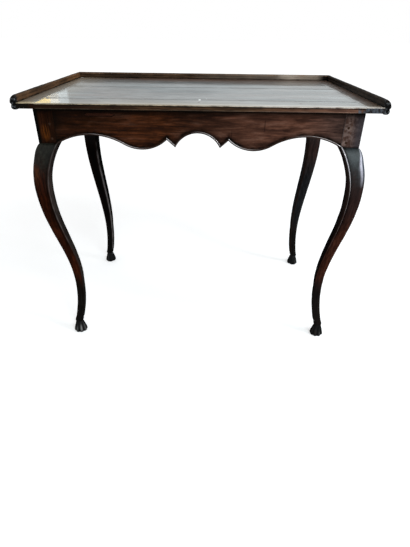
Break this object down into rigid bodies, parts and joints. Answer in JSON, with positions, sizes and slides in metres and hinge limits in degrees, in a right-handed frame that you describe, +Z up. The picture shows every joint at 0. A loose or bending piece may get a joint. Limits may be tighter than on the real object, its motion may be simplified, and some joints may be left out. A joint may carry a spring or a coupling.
{
  "type": "centre table",
  "caption": "Walnut centre table with scalloped aprons, cabriole legs with cloven hoof feet, and a thin top with a low moulded gallery on three sides.",
  "frame": {"origin": "on the floor under the middle of the top", "axes": "+X along the long side, to the right seen from the open front; +Y to the back, the side of the gallery's long strip; +Z up"},
  "size_m": [0.9, 0.578, 0.737],
  "materials": {
    "walnut_legs": "old waxed walnut, nearly black in the hollows, red-brown where rubbed",
    "walnut_aprons": "old waxed walnut, dark red-brown with lengthwise figure",
    "walnut_top": "polished walnut, worn pale and greyish, glossy",
    "walnut_gallery": "dark waxed walnut, rubbed brown on the inner faces",
    "walnut_pegs": "split walnut pegs, end grain, waxed",
    "iron_pins": "blackened iron"
  },
  "bodies": {
    "root": {"leg_front_left": "walnut_legs", "leg_front_right": "walnut_legs", "leg_back_left": "walnut_legs", "leg_back_right": "walnut_legs", "front_apron": "walnut_aprons", "back_apron": "walnut_aprons", "left_apron": "walnut_aprons", "right_apron": "walnut_aprons", "front_apron_patch": "walnut_aprons", "top_board_front": "walnut_top", "top_board_middle": "walnut_top", "top_board_back": "walnut_top", "breadboard_end_left": "walnut_top", "breadboard_end_right": "walnut_top", "gallery_left": "walnut_gallery", "gallery_right": "walnut_gallery", "gallery_back": "walnut_gallery", "front_apron_pegs": "walnut_pegs", "back_apron_pegs": "walnut_pegs", "left_apron_pegs": "walnut_pegs", "right_apron_pegs": "walnut_pegs", "breadboard_pegs": "walnut_pegs", "top_pegs": "walnut_pegs", "gallery_pins": "iron_pins"}
  },
  "joints": []
}
